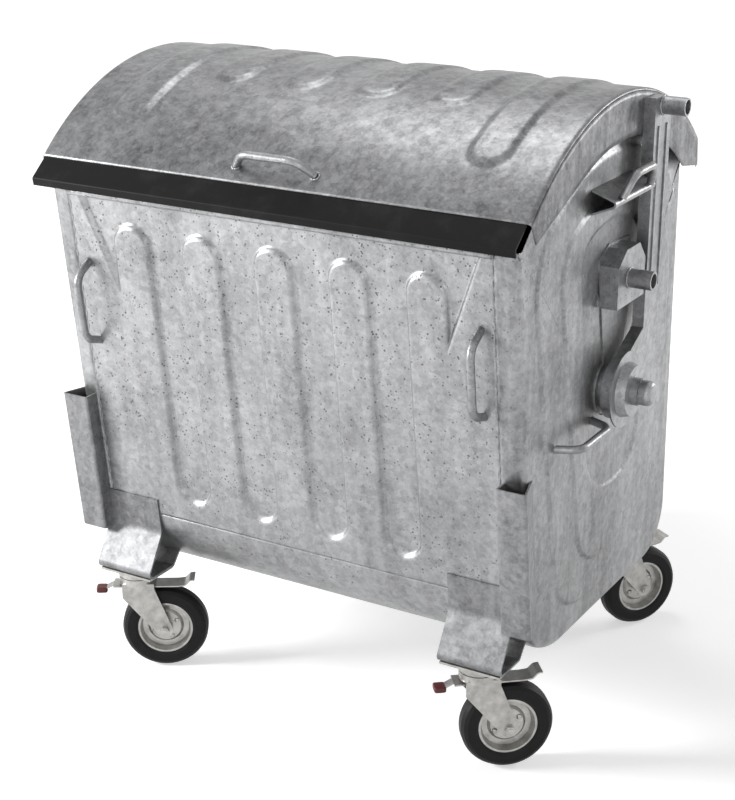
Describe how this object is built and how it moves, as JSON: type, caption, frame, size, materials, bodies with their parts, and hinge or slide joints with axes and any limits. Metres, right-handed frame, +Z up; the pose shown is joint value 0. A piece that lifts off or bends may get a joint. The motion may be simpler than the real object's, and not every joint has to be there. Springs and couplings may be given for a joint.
{
  "type": "wheeled waste container",
  "caption": "Galvanised steel waste container on swivel casters, with a sliding dome lid, corner sockets, handles and side trunnions for lifting.",
  "frame": {"origin": "on the floor, under the middle of the overall size", "axes": "+X to the right seen from the front, +Y to the rear, +Z up"},
  "size_m": [1.3326, 1.0206, 1.406],
  "materials": {
    "galvanised": "hot-dip galvanised, weathered, semi-matt",
    "caster_zinc": "zinc plated",
    "edge_strip": "matt black",
    "tyre": "solid rubber, satin"
  },
  "bodies": {
    "tub": {"caster_bracket_front_left": "galvanised", "caster_bracket_front_right": "galvanised", "caster_bracket_rear_left": "galvanised", "caster_bracket_rear_right": "galvanised", "caster_plates": "caster_zinc", "corner_socket_left": "galvanised", "corner_socket_right": "galvanised", "drain_plug": "galvanised", "floor_pan": "galvanised", "front_handle_left": "galvanised", "front_handle_right": "galvanised", "front_wall": "galvanised", "lid_stop_handle_left": "galvanised", "lid_stop_handle_right": "galvanised", "lid_stop_left": "galvanised", "lid_stop_right": "galvanised", "pivot_caps": "galvanised", "pivot_stub_left": "galvanised", "pivot_stub_right": "galvanised", "rear_wall": "galvanised", "side_handle_left": "galvanised", "side_handle_right": "galvanised", "side_wall_left": "galvanised", "side_wall_right": "galvanised", "trunnion_left": "galvanised", "trunnion_plate_left": "galvanised", "trunnion_plate_right": "galvanised", "trunnion_right": "galvanised"},
    "lid": {"lid_arm_left": "galvanised", "lid_arm_right": "galvanised", "lid_end_plate_left": "galvanised", "lid_end_plate_right": "galvanised", "lid_handle": "galvanised", "lid_hub_left": "galvanised", "lid_hub_right": "galvanised", "lid_pin_left": "galvanised", "lid_pin_right": "galvanised", "lid_roof": "galvanised", "lid_strip": "edge_strip"},
    "fork_front_left": {"fork_front_left": "caster_zinc", "axle_bolt_front_left": "caster_zinc"},
    "wheel_front_left": {"wheel_rim_front_left": "caster_zinc", "tyre_front_left": "tyre"},
    "brake_front_left": {"brake_front_left": "caster_zinc"},
    "fork_front_right": {"fork_front_right": "caster_zinc", "axle_bolt_front_right": "caster_zinc"},
    "wheel_front_right": {"wheel_rim_front_right": "caster_zinc", "tyre_front_right": "tyre"},
    "brake_front_right": {"brake_front_right": "caster_zinc"},
    "fork_rear_left": {"fork_rear_left": "caster_zinc", "axle_bolt_rear_left": "caster_zinc"},
    "wheel_rear_left": {"wheel_rim_rear_left": "caster_zinc", "tyre_rear_left": "tyre"},
    "brake_rear_left": {"brake_rear_left": "caster_zinc"},
    "fork_rear_right": {"fork_rear_right": "caster_zinc", "axle_bolt_rear_right": "caster_zinc"},
    "wheel_rear_right": {"wheel_rim_rear_right": "caster_zinc", "tyre_rear_right": "tyre"},
    "brake_rear_right": {"brake_rear_right": "caster_zinc"}
  },
  "joints": [
    {"name": "lid_hinge", "type": "hinge", "parent": "tub", "child": "lid", "pos_m": [0, -0.032, 0.775], "axis": [-1, 0, 0], "range_deg": [0, 75]},
    {"name": "swivel_front_left", "type": "hinge", "parent": "tub", "child": "fork_front_left", "pos_m": [-0.446, -0.375, 0.21], "axis": [0, 0, 1], "continuous": true},
    {"name": "wheel_spin_front_left", "type": "hinge", "parent": "fork_front_left", "child": "wheel_front_left", "pos_m": [-0.39342, -0.34215, 0.1], "axis": [-0.5299, 0.848, 0], "continuous": true},
    {"name": "brake_rock_front_left", "type": "hinge", "parent": "fork_front_left", "child": "brake_front_left", "pos_m": [-0.45278, -0.37924, 0.209], "axis": [-0.5299, 0.848, 0], "range_deg": [0, 3]},
    {"name": "swivel_front_right", "type": "hinge", "parent": "tub", "child": "fork_front_right", "pos_m": [0.446, -0.375, 0.21], "axis": [0, 0, 1], "continuous": true},
    {"name": "wheel_spin_front_right", "type": "hinge", "parent": "fork_front_right", "child": "wheel_front_right", "pos_m": [0.49349, -0.33515, 0.1], "axis": [-0.6428, 0.766, 0], "continuous": true},
    {"name": "brake_rock_front_right", "type": "hinge", "parent": "fork_front_right", "child": "brake_front_right", "pos_m": [0.43987, -0.38014, 0.209], "axis": [-0.6428, 0.766, 0], "range_deg": [0, 3]},
    {"name": "swivel_rear_left", "type": "hinge", "parent": "tub", "child": "fork_rear_left", "pos_m": [-0.446, 0.369, 0.21], "axis": [0, 0, 1], "continuous": true},
    {"name": "wheel_spin_rear_left", "type": "hinge", "parent": "fork_rear_left", "child": "wheel_rear_left", "pos_m": [-0.40216, 0.41284, 0.1], "axis": [-0.7071, 0.7071, 0], "continuous": true},
    {"name": "brake_rock_rear_left", "type": "hinge", "parent": "fork_rear_left", "child": "brake_rear_left", "pos_m": [-0.45166, 0.36334, 0.209], "axis": [-0.7071, 0.7071, 0], "range_deg": [0, 3]},
    {"name": "swivel_rear_right", "type": "hinge", "parent": "tub", "child": "fork_rear_right", "pos_m": [0.446, 0.369, 0.21], "axis": [0, 0, 1], "continuous": true},
    {"name": "wheel_spin_rear_right", "type": "hinge", "parent": "fork_rear_right", "child": "wheel_rear_right", "pos_m": [0.48067, 0.4204, 0.1], "axis": [-0.829, 0.5592, 0], "continuous": true},
    {"name": "brake_rock_rear_right", "type": "hinge", "parent": "fork_rear_right", "child": "brake_rear_right", "pos_m": [0.44153, 0.36237, 0.209], "axis": [-0.829, 0.5592, 0], "range_deg": [0, 3]}
  ]
}
